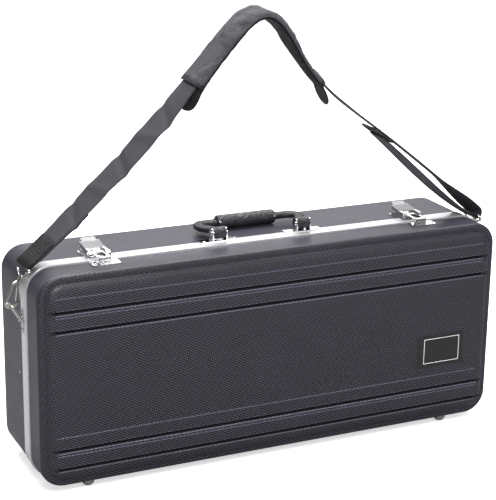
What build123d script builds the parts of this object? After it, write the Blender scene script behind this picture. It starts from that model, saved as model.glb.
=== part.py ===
"""Hard case for a bass-size clarinet, standing on its long lower edge.

Frame: X along the case's length, -Y towards the lid, +Z up. The origin is under the middle of the
case, on the surface that its feet stand on. All sizes are in millimetres.
"""
from build123d import *
from math import atan2, cos, degrees, hypot, radians, sin, sqrt
import os

os.makedirs("parts", exist_ok=True)

# ---------------------------------------------------------------- driving dimensions
# case body
case_length = 715.0
case_height = 303.5
lid_depth = 62.0              # seam to the front face
base_depth = 121.6            # seam to the back face
corner_radius = 34.0
wall = 3.0                    # formed ABS sheet
foot_height = 10.5

# raised panel on the front and back faces
panel_inset = 8.0
panel_rise = 7.5
roll_radius = 15.0            # rolled edge of the raised panel
skirt_edge = 6.0              # rounding where the skirt meets the step
inner_bevel = 0.66            # bevel inside an edge, as a share of the radius that it stands for

# pressed grooves across the panel
groove_width = 4.2
groove_lip = 2.0
groove_depth = 4.5
groove_pitch = 27.2
stripe_margin = 28.5          # outer stripes to the case's lower and upper edges
line_offset = 20.3            # fine line above each groove
fine_line = 0.9               # half width of the fine line, and its depth

# aluminium frame
frame_sheet = 1.2
base_frame_width = 15.7
lid_frame_width = 9.1
inner_flange = 12.0
seam_gap = 0.4
lid_web_start = 5.7
web_thickness = 1.5
tongue_height = 5.0
tongue_thickness = 2.0
tongue_gap = 0.5
bead_height = 4.4
bead_proud = 1.0

# badge
badge_length = 80.0
badge_height = 51.0
badge_thickness = 1.2
badge_pocket = 0.8
badge_x = 267.0
badge_z = 126.0

# feet and side rivets
foot_radius = 9.0
foot_x = 286.0
side_rivet_y = 3.0
side_rivet_z = 154.0

# hinges
hinge_length = 52.0
hinge_spacing = 232.0
knuckle_radius = 2.7
pin_radius = 1.3
leaf_width = 9.3
leaf_plate = 1.2
end_gap = 0.3                 # between knuckles

# fits and rivets
fit_gap = 0.05                # radial, pin in its hole
loose_gap = 0.3               # between pieces that pass each other
shank_radius = 1.4
rivet_radius = 2.6
rivet_dome = 1.3

# latches
latch_x = 249.0
sheet = 1.2                   # pressed steel of the latch
latch_plate_half = 19.0
lever_half_width = 14.5
tab_half_width = 10.5
latch_reach = 44.0            # base plate behind the seam
pivot_back = 7.5              # lever pivot behind the seam
pivot_height = 5.3            # lever pivot above the frame
link_arm = 9.0                # lever pivot to hook pin
link_angle = 8.0              # degrees that the hook pin lies below the lever pivot's level
latch_pin = 1.2
claw_half_width = 10.0
claw_tip_half_width = 8.0     # claw beyond its shoulders
window_half_width = 5.5       # opening in the hook's link
lip_front = 18.0              # front of the catch's lugs, in front of the seam
lug_thickness = 2.0
lug_half_width = 9.0
catch_start = 9.8
catch_end = 30.0
catch_half_width = 20.5

# handle
handle_x = 66.5               # middle of each end loop
handle_y = -16.0
handle_rise = 12.0            # pivot above the frame
handle_reach = 54.0
handle_pin = 2.6
loop_radius = 8.5
loop_width = 19.0
ear_sheet = 1.5
ear_radius = 7.5
bracket_length = 58.0
bracket_width = 14.0
bracket_plate = 1.5
grip_half_length = 47.0
grip_radius = 10.5
arm_width = 15.0              # covered flat bar: across, and through
arm_thickness = 9.0
arm_edge = 3.8
arm_start = 12.0              # straight length that clears the bracket's ears
arm_bend = 13.0
elbow_x = 79.0

# strap rings and snap hooks
strap_y = -22.0
ring_drop = 76.5              # ring's lower bar below the case's top
ring_wire = 1.75
ring_half_width = 10.5
ring_reach = 28.8
ring_lean = 31.2              # degrees out from upright
ring_bracket_length = 35.0
ring_bracket_width = 10.0
hook_lean = 23.0              # degrees out from upright
hook_wire = 2.1
hook_bend = 7.0
gate_pivot = (-1.5, 27.0)     # across and along the hook, from the middle of its bend
gate_half = 2.9
gate_tip = (-7.0, 5.2)
head_start = 30.6
head_end = 35.0
head_radius = 4.2
collar_height = 4.0
eye_wire = 1.7
eye_bar = 53.0                # bend to the eye's bar, along the hook

# strap
webbing_width = 38.0
webbing = 1.8
pad_width = 56.0
pad_thickness = 8.0
sleeve_width = 50.0           # cover that holds the pad to the webbing
sleeve_rise = 3.0
apex_x = -10.0                # top of the strap, and its height above the case
apex_height = 326.0
loop_turn = 6.0               # radius of the loose loop at the right eye
pad_from = 0.345              # shares of the main strand that the pad covers
pad_to = 0.62
pad_tongue = 0.035            # share by which the cushion passes the cover at each end
pad_end_radius = 25.0
adjuster_at = 0.77
adjuster_half_length = 18.0
adjuster_bar = 3.0

# moulded insert
insert_gap = 0.3
insert_top = 8.0              # insert's face below the seam
rib = 13.0                    # between wells
well_depth = 88.0
lower_joint_length = 560.0
lower_joint_width = 92.0
upper_joint_length = 400.0
upper_joint_width = 80.0
accessory_depth = 60.0
well_corner = 14.0
block_rounding = 4.0
lid_pad_thickness = 12.0

# ---------------------------------------------------------------- derived places
case_depth = lid_depth + base_depth
y_front = -case_depth / 2
y_back = case_depth / 2
y_seam = y_front + lid_depth
z_bottom = foot_height
z_top = foot_height + case_height
z_mid = foot_height + case_height / 2
half_length = case_length / 2
frame_top = z_top + frame_sheet
frame_side = half_length + frame_sheet
frame_bottom = z_bottom - frame_sheet
hinge_z = frame_bottom - knuckle_radius - loose_gap
ring_z = z_top - ring_drop
LID, BASE = -1, 1             # which way each half reaches from the seam
LEFT, RIGHT = -1, 1
SIDES = {"left": LEFT, "right": RIGHT}


def save(piece, label):
    """Name a finished piece and write its STEP file."""
    piece.part.label = label
    export_step(piece.part, f"parts/{label}.step")


def half_plane(half, depth):
    """Plane parallel to the seam, its normal pointing out of that half of the case."""
    return Plane(origin=(0, y_seam + half * depth, z_mid), x_dir=(-half, 0, 0), z_dir=(0, half, 0))


def cross_plane(x):
    """Plane across the case at x; its own axes are Y and Z."""
    return Plane(origin=(x, 0, 0), x_dir=(0, 1, 0), z_dir=(1, 0, 0))


def strap_plane(y=strap_y):
    """Plane along the case at y; its own axes are X and Z."""
    return Plane(origin=(0, y, 0), x_dir=(1, 0, 0), z_dir=(0, -1, 0))


def outline(inset, mode=Mode.ADD):
    """The case's rounded outline, drawn inset from its outer faces."""
    RectangleRounded(case_length - 2 * inset, case_height - 2 * inset, corner_radius - inset, mode=mode)


def ring(half, outer, inner, start, end):
    """Band round the case between two insets, from one depth behind the seam to another."""
    with BuildSketch(half_plane(half, start)) as drawn:
        outline(outer)
        outline(inner, mode=Mode.SUBTRACT)
    extrude(drawn.sketch, amount=end - start)


def bar(x0, x1, y0, y1, z0, z1, mode=Mode.ADD):
    """Rectangular block between two corners."""
    with BuildSketch(Plane.XY.offset(z0)) as drawn:
        with Locations(((x0 + x1) / 2, (y0 + y1) / 2)):
            Rectangle(x1 - x0, y1 - y0)
    extrude(drawn.sketch, amount=z1 - z0, mode=mode)


def strip(plane, points, half_width, mode=Mode.ADD):
    """Polygon extruded by the same amount to both sides of its plane."""
    with BuildSketch(plane) as drawn:
        Polygon(*points, align=None)
    extrude(drawn.sketch, amount=half_width, both=True, mode=mode)


def disc(plane, centre, radius, half_width, mode=Mode.ADD):
    """Round boss, or hole, reaching the same amount to both sides of its plane."""
    with BuildSketch(plane) as drawn:
        with Locations(centre):
            Circle(radius)
    extrude(drawn.sketch, amount=half_width, both=True, mode=mode)


# ---------------------------------------------------------------- rivets
def rivet(plane, grip):
    """Domed rivet: its head sits on the plane and its shank reaches through the work behind."""
    axial = Plane(origin=plane.origin, x_dir=plane.x_dir, z_dir=-plane.y_dir)
    ball = (rivet_radius ** 2 + rivet_dome ** 2) / (2 * rivet_dome)
    halfway = (rivet_radius / 2, sqrt(ball ** 2 - rivet_radius ** 2 / 4) - ball + rivet_dome)
    with BuildSketch(axial) as drawn:
        with BuildLine():
            Polyline((0, rivet_dome), (0, -grip), (shank_radius, -grip), (shank_radius, 0), (rivet_radius, 0))
            ThreePointArc((rivet_radius, 0), halfway, (0, rivet_dome))
        make_face()
    revolve(drawn.sketch, axis=Axis(plane.origin, plane.z_dir))


def drill(rivets):
    """Holes for the shanks of a group of rivets, in the piece that is being built."""
    for plane, grip in rivets:
        with BuildSketch(plane) as drawn:
            Circle(shank_radius)
        extrude(drawn.sketch, amount=-grip, mode=Mode.SUBTRACT)


def facing(x, y, z, normal):
    """Seat for a rivet whose head faces along the normal."""
    return Plane(origin=(x, y, z), x_dir=(0, 1, 0), z_dir=normal)


def hinge_rivets(half):
    """Two rivets in each of the three leaves on one half, with the length that each one grips."""
    grip = leaf_plate + bead_proud + frame_sheet
    y = y_seam + half * (leaf_width - rivet_radius)
    seat = frame_bottom - bead_proud - leaf_plate
    return [(facing(x + dx, y, seat, (0, 0, -1)), grip)
            for x in hinge_places() for dx in (-hinge_length / 2 + 5, hinge_length / 2 - 5)]


def latch_rivets(side):
    """Two rivets through a latch's base plate: one through the frame, one behind it."""
    front = facing(side * latch_x, y_seam + 4.5, frame_top + sheet, (0, 0, 1))
    rear = facing(side * latch_x, y_seam + 37.0, z_top + sheet, (0, 0, 1))
    return [(front, sheet + frame_sheet), (rear, sheet + wall)]


def catch_rivets(side):
    """Two rivets through the wings of a catch plate."""
    return [(facing(side * latch_x + dx, y_seam - 23.0, z_top + sheet, (0, 0, 1)), sheet + wall)
            for dx in (-15.5, 15.5)]


def handle_rivets(side):
    """Two rivets through the ends of a handle bracket."""
    grip = bracket_plate + frame_sheet
    return [(facing(side * handle_x + dx, handle_y - 3.5, frame_top + bracket_plate, (0, 0, 1)), grip)
            for dx in (-23.5, 23.5)]


def ring_rivets(side):
    """Two rivets through a ring bracket, above and below the ring."""
    grip = sheet + frame_sheet
    return [(facing(side * (frame_side + sheet), strap_y, ring_z + dz, (side, 0, 0)), grip)
            for dz in (-12.5, 12.5)]


def side_rivets():
    """One rivet in each end of the base shell."""
    return [(facing(side * half_length, side_rivet_y, side_rivet_z, (side, 0, 0)), wall)
            for side in (LEFT, RIGHT)]


def hinge_places():
    """Middles of the three hinges along the case."""
    return -hinge_spacing, 0, hinge_spacing


def base_rivets():
    """Every rivet that passes through the base."""
    found = hinge_rivets(BASE)
    for side in (LEFT, RIGHT):
        found += latch_rivets(side) + handle_rivets(side) + ring_rivets(side)
    return found


# ---------------------------------------------------------------- formed shells
def groove_heights():
    """Middles of the four pressed grooves: a pair low on the panel and a pair high on it."""
    low = z_bottom + stripe_margin
    high = z_top - stripe_margin - line_offset
    return low, low + groove_pitch, high - groove_pitch, high


def cut_groove(half, depth, z, skin):
    """One groove with a round floor. The outer one has rounded lips; inner ones are offset copies."""
    face = y_seam + half * depth
    hw = groove_width / 2 + skin
    floor = face - half * (groove_depth + skin)
    turn = floor + half * hw
    out = face + half
    with BuildSketch(cross_plane(0)) as drawn:
        with BuildLine():
            if skin == 0:
                near, wide = face - half * groove_lip, hw + groove_lip
                bulge = groove_lip * 0.3
                Polyline((turn, z - hw), (near, z - hw), (face - half * bulge, z - hw - bulge),
                         (out, z - wide - 1), (out, z + wide + 1), (face - half * bulge, z + hw + bulge),
                         (near, z + hw), (turn, z + hw))
                ThreePointArc((turn, z + hw), (floor, z), (turn, z - hw))
            else:
                Polyline((turn, z - hw), (out, z - hw), (out, z + hw), (turn, z + hw))
                ThreePointArc((turn, z + hw), (floor, z), (turn, z - hw))
        make_face()
    extrude(drawn.sketch, amount=half_length, both=True, mode=Mode.SUBTRACT)


def cut_fine_line(half, depth, z):
    """Shallow V line across the panel."""
    face = y_seam + half * depth
    points = [(face + half, z - 2 * fine_line), (face + half, z + 2 * fine_line), (face - half * fine_line, z)]
    strip(cross_plane(0), points, half_length, mode=Mode.SUBTRACT)


def edged_block(half, start, end, inset, radius, inner):
    """Block on the case's outline between two depths, its outer rim rounded, or bevelled on the inside."""
    with BuildPart() as block:
        with BuildSketch(half_plane(half, start)):
            outline(inset)
        extrude(amount=end - start)
        rim = block.faces().sort_by(Axis.Y)[0 if half == LID else -1].edges()
        if inner:
            chamfer(rim, length=radius * inner_bevel)
        else:
            fillet(rim, radius=radius)
    return block.part


def form(half, depth, start, skin):
    """Solid shape of one half's inside or outside, a skin's thickness in from the outer faces."""
    inner = skin > 0
    skirt = edged_block(half, start, depth - panel_rise - skin, skin, skirt_edge - skin, inner)
    panel_start = max(start, depth - roll_radius - 5)
    panel = edged_block(half, panel_start, depth - skin, panel_inset + skin, roll_radius - skin, inner)
    with BuildPart() as shape:
        add(skirt)
        add(panel)
        for z in groove_heights():
            cut_groove(half, depth, z, skin)
        if not inner:
            for z in groove_heights():
                cut_fine_line(half, depth, z + line_offset)
    return shape.part


def shell(half, depth, start):
    """Formed ABS shell of one half, open at the seam."""
    outside = form(half, depth, start, 0)
    inside = form(half, depth, start, wall)
    return outside - inside


with BuildPart() as base_shell:
    add(shell(BASE, base_depth, web_thickness))
    drill(base_rivets())
    drill(side_rivets())

with BuildPart() as lid_shell:
    add(shell(LID, lid_depth, lid_web_start + web_thickness))
    with BuildSketch(half_plane(LID, lid_depth - badge_pocket)):
        with Locations((badge_x, badge_z - z_mid)):
            RectangleRounded(badge_length, badge_height, 3)
    extrude(amount=badge_pocket, mode=Mode.SUBTRACT)
    drill(hinge_rivets(LID))
    for side in (LEFT, RIGHT):
        drill(catch_rivets(side))

with BuildPart() as badge_plate:
    with BuildSketch(half_plane(LID, lid_depth - badge_pocket)):
        with Locations((badge_x, badge_z - z_mid)):
            RectangleRounded(badge_length - 0.2, badge_height - 0.2, 2.9)
    extrude(amount=badge_thickness)
    chamfer(badge_plate.faces().sort_by(Axis.Y)[0].edges(), length=0.3)


# ---------------------------------------------------------------- aluminium frame
inner_face = wall + frame_sheet

with BuildPart() as base_frame:
    ring(BASE, -frame_sheet, 0, 0, base_frame_width)
    ring(BASE, 0, inner_face, 0, web_thickness)
    ring(BASE, wall, inner_face, web_thickness, inner_flange)
    ring(BASE, tongue_gap, tongue_gap + tongue_thickness, -tongue_height, 0)
    drill(base_rivets())

with BuildPart() as lid_frame:
    lid_frame_end = seam_gap + lid_frame_width
    ring(LID, -frame_sheet, 0, seam_gap, lid_frame_end)
    ring(LID, -frame_sheet - bead_proud, -frame_sheet, lid_frame_end - bead_height, lid_frame_end)
    rims = lid_frame.faces().filter_by(Plane.XZ).sort_by(Axis.Y)
    chamfer([rims[0].outer_wire().edges(), rims[-2].outer_wire().edges()], length=bead_proud * 0.45)
    ring(LID, 0, inner_face, lid_web_start, lid_web_start + web_thickness)
    ring(LID, wall, inner_face, lid_web_start + web_thickness, inner_flange)
    drill(hinge_rivets(LID))


# ---------------------------------------------------------------- hinges
def hinge_leaf(half):
    """Leaves of the three hinges on one half: knuckles, and the plates riveted to the frame."""
    outer, middle = hinge_length / 2, hinge_length / 6
    top = frame_bottom
    for x in hinge_places():
        spans = [(x - middle + end_gap, x + middle - end_gap)]
        if half == BASE:
            spans = [(x - outer, x - middle), (x + middle, x + outer)]
        inner_edge = 0.4 if half == BASE else seam_gap
        edges = sorted((y_seam + half * inner_edge, y_seam + half * leaf_width))
        bar(x - outer, x + outer, edges[0], edges[1], top - leaf_plate - bead_proud, top)
        if half == LID:
            bead = y_seam - lid_frame_end
            bar(x - outer, x + outer, bead, bead + bead_height, top - bead_proud, top, mode=Mode.SUBTRACT)
        for start, end in spans:
            span_plane = cross_plane((start + end) / 2)
            disc(span_plane, (y_seam, hinge_z), knuckle_radius, (end - start) / 2)
        gaps = [(x - middle, x + middle)] if half == BASE else [(x - outer, x - middle + end_gap),
                                                                (x + middle - end_gap, x + outer)]
        for start, end in gaps:
            span_plane = cross_plane((start + end) / 2)
            disc(span_plane, (y_seam, hinge_z), knuckle_radius + loose_gap, (end - start) / 2, mode=Mode.SUBTRACT)
        disc(cross_plane(x), (y_seam, hinge_z), pin_radius + fit_gap, hinge_length, mode=Mode.SUBTRACT)


with BuildPart() as base_hinge_leaves:
    hinge_leaf(BASE)
    drill(hinge_rivets(BASE))

with BuildPart() as lid_hinge_leaves:
    hinge_leaf(LID)
    drill(hinge_rivets(LID))

with BuildPart() as hinge_pins:
    for x in hinge_places():
        disc(cross_plane(x), (y_seam, hinge_z), pin_radius, hinge_length / 2)

with BuildPart() as base_hinge_rivets:
    for plane, grip in hinge_rivets(BASE):
        rivet(plane, grip)

with BuildPart() as lid_hinge_rivets:
    for plane, grip in hinge_rivets(LID):
        rivet(plane, grip)


# ---------------------------------------------------------------- feet
def feet(half):
    """Two domed feet under one half, near its outer face."""
    y = y_front if half == LID else y_back
    y -= half * (panel_rise + skirt_edge + foot_radius + 0.2)
    for x in (-foot_x, foot_x):
        with BuildSketch(Plane(origin=(x, y, 0), x_dir=(1, 0, 0), z_dir=(0, -1, 0))) as drawn:
            with BuildLine():
                Polyline((2.5, 0), (0, 0), (0, foot_height), (foot_radius, foot_height), (foot_radius, foot_height - 2))
                ThreePointArc((foot_radius, foot_height - 2), (foot_radius * 0.76, foot_height * 0.24), (2.5, 0))
            make_face()
        revolve(drawn.sketch, axis=Axis((x, y, 0), (0, 0, 1)))


with BuildPart() as base_feet:
    feet(BASE)

with BuildPart() as lid_feet:
    feet(LID)

with BuildPart() as end_rivets:
    for plane, grip in side_rivets():
        rivet(plane, grip)


# ---------------------------------------------------------------- moulded insert and lid pad
inset_limit = inner_face + insert_gap + rib
well_left = -half_length + inset_limit
well_right = half_length - inset_limit
well_low = z_bottom + inset_limit
well_high = z_top - inset_limit
row_split = well_low + lower_joint_width          # top of the lower row of wells
upper_row = row_split + rib
joint_floor = well_high - upper_joint_width
bell_left = well_left + upper_joint_length + rib
floor_depth = insert_top + well_depth


def insert_form():
    """Outside of the foam insert, before its hollow is cut."""
    with BuildPart() as shape:
        add(form(BASE, base_depth, inner_flange + insert_gap, wall + insert_gap))
        with BuildSketch(half_plane(BASE, insert_top)):
            outline(inner_face + insert_gap)
        extrude(amount=inner_flange + insert_gap - insert_top)
    return shape.part


def covered_block(x0, x1, z0, z1, start, end):
    """Covered foam block between two depths behind the seam, its edges at the front rounded."""
    with BuildPart(mode=Mode.PRIVATE) as block:
        with BuildSketch(half_plane(BASE, start)):
            with Locations((-(x0 + x1) / 2, (z0 + z1) / 2 - z_mid)):
                Rectangle(x1 - x0, z1 - z0)
        extrude(amount=end - start)
        long_way = Axis.X if x1 - x0 > z1 - z0 else Axis.Z
        fillet(block.faces().sort_by(Axis.Y)[0].edges().filter_by(long_way), radius=block_rounding)
    add(block.part)


with BuildPart() as insert_bed:
    add(insert_form())
    split(bisect_by=half_plane(BASE, floor_depth), keep=Keep.TOP)

with BuildPart() as base_insert:
    add(insert_form())
    split(bisect_by=half_plane(BASE, floor_depth), keep=Keep.BOTTOM)
    with BuildSketch(half_plane(BASE, insert_top)):
        with Locations((-(well_left + well_right) / 2, (well_low + well_high) / 2 - z_mid)):
            RectangleRounded(well_right - well_left, well_high - well_low, well_corner)
    extrude(amount=well_depth, mode=Mode.SUBTRACT)

with BuildPart() as row_divider:
    covered_block(well_left, well_right, row_split, upper_row, insert_top, floor_depth)

with BuildPart() as neck_divider:
    neck_left = well_left + lower_joint_length
    covered_block(neck_left, neck_left + rib, well_low, row_split, insert_top, floor_depth)

with BuildPart() as bell_divider:
    covered_block(bell_left - rib, bell_left, upper_row, well_high, insert_top, floor_depth)

with BuildPart() as accessory_shelf:
    covered_block(well_left, bell_left - rib, joint_floor - rib, joint_floor, insert_top, floor_depth)
    covered_block(well_left, bell_left - rib, upper_row, joint_floor - rib, insert_top + accessory_depth, floor_depth)

with BuildPart() as lid_pad:
    pad_start = lid_depth - wall - insert_gap - lid_pad_thickness
    add(form(LID, lid_depth, pad_start, wall + insert_gap))


# ---------------------------------------------------------------- latches
pivot = (y_seam + pivot_back, frame_top + pivot_height)
link_pin = (pivot[0] + link_arm * cos(radians(link_angle)), pivot[1] - link_arm * sin(radians(link_angle)))
eye_radius = latch_pin + fit_gap + sheet
link_top = link_pin[1] + eye_radius
link_bottom = link_top - sheet
lug_top = link_bottom - loose_gap
web_start = link_pin[0] + 5.0
lever_rear = y_seam + latch_reach
tab_end = (lever_rear + 9.5, frame_top + 15.0)


def latch_base(side):
    """Stepped base plate riveted over the frame, with two low side walls that carry the pivot."""
    x = side * latch_x
    front, step, rear = y_seam + 0.5, y_seam + base_frame_width + 0.2, y_seam + latch_reach
    plate = [(front, frame_top), (step, frame_top), (step, z_top), (rear, z_top), (rear, z_top + sheet),
             (step + sheet, z_top + sheet), (step + sheet, frame_top + sheet), (front, frame_top + sheet)]
    strip(cross_plane(x), plate, latch_plate_half)
    wall_inside = lever_half_width + loose_gap
    for dx in (-wall_inside - sheet / 2, wall_inside + sheet / 2):
        wing = [(front + 0.5, frame_top + 0.5), (step, frame_top + 0.5), (step + 1, z_top + 0.5),
                (rear - 1, z_top + 0.5), (rear - 4, z_top + 5.0), (pivot[0] + 8, frame_top + 5.2),
                (front + 1.5, frame_top + 5.2)]
        strip(cross_plane(x + dx), wing, sheet / 2)
        disc(cross_plane(x + dx), pivot, 3.0, sheet / 2)
    disc(cross_plane(x), pivot, latch_pin, latch_plate_half, mode=Mode.SUBTRACT)
    drill(latch_rivets(side))


def latch_lever(side):
    """Channel lever lying back over the base plate, with a turned-up thumb tab."""
    x = side * latch_x
    top_front = (web_start, frame_top + 8.9)
    top_rear = (lever_rear, frame_top + 12.0)
    cheek = [(pivot[0], pivot[1] - 3.2), (link_pin[0], frame_top + 1.7), (web_start, frame_top + 1.7),
             (lever_rear - 2, frame_top + 7.0), top_rear, top_front, (pivot[0], pivot[1] + 3.2)]
    for dx in (-lever_half_width + sheet / 2, lever_half_width - sheet / 2):
        strip(cross_plane(x + dx), cheek, sheet / 2)
        disc(cross_plane(x + dx), pivot, 3.2, sheet / 2)
    web = [top_front, top_rear, tab_end, (tab_end[0] + 0.5, tab_end[1] - sheet),
           (top_rear[0] + 0.5, top_rear[1] - sheet), (top_front[0], top_front[1] - sheet)]
    strip(cross_plane(x), web, lever_half_width)
    flange_width = lever_half_width - claw_half_width - loose_gap
    flange = [(pivot[0] - 3.0, pivot[1] + 0.6), (pivot[0] - 1.4, top_front[1]), top_front,
              (top_front[0], top_front[1] - sheet), (pivot[0] - 0.8, top_front[1] - sheet),
              (pivot[0] - 1.8, pivot[1] + 0.6)]
    for dx in (-lever_half_width + flange_width / 2, lever_half_width - flange_width / 2):
        strip(cross_plane(x + dx), flange, flange_width / 2)
    disc(cross_plane(x), pivot, latch_pin + fit_gap, lever_half_width, mode=Mode.SUBTRACT)
    disc(cross_plane(x), link_pin, latch_pin, lever_half_width, mode=Mode.SUBTRACT)
    with BuildSketch(Plane.XY.offset(frame_top)) as drawn:
        with Locations((x, tab_end[0] + 5)):
            Rectangle(2 * lever_half_width + 2, 2 * (tab_end[0] + 5 - top_rear[0] - 1.5))
        with Locations((x, tab_end[0] - 4.5)):
            RectangleRounded(2 * tab_half_width, 16, 5, mode=Mode.SUBTRACT)
    extrude(drawn.sketch, amount=30, mode=Mode.SUBTRACT)


def latch_hook(side):
    """Flat link from the lever's pin to a claw that turns down in front of the catch's lugs."""
    x = side * latch_x
    claw_back = y_seam - lip_front - loose_gap
    tip = z_top + sheet + 0.8
    link = [(link_pin[0], link_top), (claw_back - sheet, link_top), (claw_back - sheet, tip),
            (claw_back, tip), (claw_back, link_bottom), (link_pin[0], link_bottom)]
    strip(cross_plane(x), link, claw_half_width)
    window_rear, window_front = link_pin[0] - 8.0, claw_back + 5.0
    with BuildSketch(Plane.XY.offset(link_bottom - 1)) as drawn:
        with Locations((x, (window_rear + window_front) / 2)):
            RectangleRounded(2 * window_half_width, window_rear - window_front, 1.5)
    extrude(drawn.sketch, amount=sheet + 2, mode=Mode.SUBTRACT)
    with BuildSketch(Plane.XY.offset(z_top)) as drawn:
        for dx in (-1, 1):
            with Locations((x + dx * (claw_half_width + claw_tip_half_width) / 2, claw_back)):
                Rectangle(claw_half_width - claw_tip_half_width, 7)
    extrude(drawn.sketch, amount=10, mode=Mode.SUBTRACT)
    disc(cross_plane(x), link_pin, eye_radius, claw_half_width)
    disc(cross_plane(x), link_pin, latch_pin + fit_gap, claw_half_width, mode=Mode.SUBTRACT)


def catch(side):
    """Catch plate on the lid: two drilled wings and two lugs that the claw pulls on."""
    x = side * latch_x
    back, front = y_seam - catch_start, y_seam - catch_end
    with BuildSketch(Plane.XY.offset(z_top)) as drawn:
        with Locations((x, (back + front) / 2)):
            RectangleRounded(2 * catch_half_width, back - front, 4)
    extrude(drawn.sketch, amount=sheet)
    face = y_seam - lip_front
    for dx in (-lug_half_width + 3, lug_half_width - 3):
        lug = [(face, z_top + 0.5), (face, lug_top - 0.6), (face + 0.6, lug_top), (face + lug_thickness, lug_top),
               (face + lug_thickness + 3, z_top + 0.5)]
        strip(cross_plane(x + dx), lug, 3)
    drill(catch_rivets(side))


def latch_pins(side):
    """Two stub pivots in the side walls, beside the space that the link moves in."""
    x = side * latch_x
    reach = lever_half_width + loose_gap + sheet + 0.5
    for dx in (-1, 1):
        inside = claw_half_width + 1
        disc(cross_plane(x + dx * (inside + reach) / 2), pivot, latch_pin, (reach - inside) / 2)
        disc(cross_plane(x + dx * (reach + 0.3)), pivot, latch_pin + 0.8, 0.3)


for name, side in SIDES.items():
    with BuildPart() as piece:
        latch_base(side)
    save(piece, f"latch_base_{name}")
    with BuildPart() as piece:
        latch_lever(side)
    save(piece, f"latch_lever_{name}")
    with BuildPart() as piece:
        latch_hook(side)
    save(piece, f"latch_hook_{name}")
    with BuildPart() as piece:
        catch(side)
    save(piece, f"latch_catch_{name}")
    with BuildPart() as piece:
        latch_pins(side)
    save(piece, f"latch_pivots_{name}")
    with BuildPart() as piece:
        disc(cross_plane(side * latch_x), link_pin, latch_pin, lever_half_width)
    save(piece, f"latch_hook_pin_{name}")

with BuildPart() as latch_base_rivets:
    for side in (LEFT, RIGHT):
        for plane, grip in latch_rivets(side):
            rivet(plane, grip)

with BuildPart() as catch_plate_rivets:
    for side in (LEFT, RIGHT):
        for plane, grip in catch_rivets(side):
            rivet(plane, grip)


# ---------------------------------------------------------------- handle
handle_pivot = (handle_y, frame_top + handle_rise)
grip_z = z_top + grip_radius + 0.5
handle_tilt = degrees(atan2(grip_z - handle_pivot[1], handle_reach))


def handle_plane():
    """Plane that the handle's bar is bent in; its own axes are X and the way the handle reaches."""
    tilt = radians(handle_tilt)
    return Plane(origin=(0, handle_pivot[0], handle_pivot[1]), x_dir=(1, 0, 0), z_dir=(0, -sin(tilt), cos(tilt)))


def handle_bracket(side):
    """Cast bracket: a plate stepped over the frame's edge and two ears for the handle's pin."""
    x = side * handle_x
    front, rear = handle_y - bracket_width / 2, handle_y + bracket_width / 2
    step = y_seam + base_frame_width + 0.2
    top = frame_top + bracket_plate
    foot = [(front, frame_top), (step, frame_top), (step, z_top), (rear, z_top), (rear, top), (front, top)]
    strip(cross_plane(x), foot, bracket_length / 2)
    ear_middle = loop_width / 2 + loose_gap + ear_sheet / 2
    for dx in (-ear_middle, ear_middle):
        ear = [(front + 0.5, top - 0.5), (rear - 0.5, top - 0.5), (handle_y + ear_radius * 0.97, handle_pivot[1]),
               (handle_y - ear_radius * 0.97, handle_pivot[1])]
        strip(cross_plane(x + dx), ear, ear_sheet / 2)
        disc(cross_plane(x + dx), handle_pivot, ear_radius, ear_sheet / 2)
    disc(cross_plane(x), handle_pivot, handle_pin, loop_width, mode=Mode.SUBTRACT)
    drill(handle_rivets(side))


for name, side in SIDES.items():
    with BuildPart() as piece:
        handle_bracket(side)
    save(piece, f"handle_bracket_{name}")

with BuildPart() as handle_pins:
    for side in (LEFT, RIGHT):
        reach = loop_width / 2 + loose_gap + ear_sheet + 0.6
        disc(cross_plane(side * handle_x), handle_pivot, handle_pin, reach)
        for dx in (-reach - 0.4, reach + 0.4):
            disc(cross_plane(side * handle_x + dx), handle_pivot, handle_pin + 1.2, 0.4)

def arm_section(origin, along):
    """Section of the handle's covered bar, square to a direction in the handle's plane."""
    across = handle_plane().z_dir.cross(along)
    with BuildSketch(Plane(origin=origin, x_dir=across, z_dir=along)) as drawn:
        RectangleRounded(arm_width, arm_thickness, arm_edge)
    return drawn.sketch


with BuildPart() as handle_core:
    half_path = [(handle_x, 2), (handle_x, arm_start), (elbow_x, handle_reach * 0.6), (elbow_x, handle_reach)]
    corners = [(-x, y) for x, y in half_path] + half_path[::-1]
    with BuildLine(handle_plane()) as core_path:
        FilletPolyline(*corners, radius=arm_bend)
    sweep(arm_section(core_path.line @ 0, core_path.line % 0), path=core_path.line)
    for side in (LEFT, RIGHT):
        disc(cross_plane(side * handle_x), handle_pivot, loop_radius, loop_width / 2)
        disc(cross_plane(side * handle_x), handle_pivot, handle_pin + fit_gap, loop_width, mode=Mode.SUBTRACT)

with BuildPart() as handle_grip:
    grip_y = handle_y + handle_reach * cos(radians(handle_tilt))
    grip_centre = (grip_y, handle_pivot[1] + handle_reach * sin(radians(handle_tilt)))
    disc(cross_plane(0), grip_centre, grip_radius, grip_half_length)
    fillet(handle_grip.edges().filter_by(GeomType.CIRCLE), radius=4)
    bore = Plane(origin=(0, *grip_centre), x_dir=handle_plane().y_dir, z_dir=(1, 0, 0))
    with BuildSketch(bore):
        RectangleRounded(arm_width + 2 * fit_gap, arm_thickness + 2 * fit_gap, arm_edge + fit_gap)
    extrude(amount=grip_half_length, both=True, mode=Mode.SUBTRACT)

with BuildPart() as handle_bracket_rivets:
    for side in (LEFT, RIGHT):
        for plane, grip in handle_rivets(side):
            rivet(plane, grip)


# ---------------------------------------------------------------- strap rings
bar_x = frame_side + ring_wire + loose_gap
ring_top_x = bar_x + ring_reach * sin(radians(ring_lean))
ring_top_z = ring_z + ring_reach * cos(radians(ring_lean))


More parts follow.
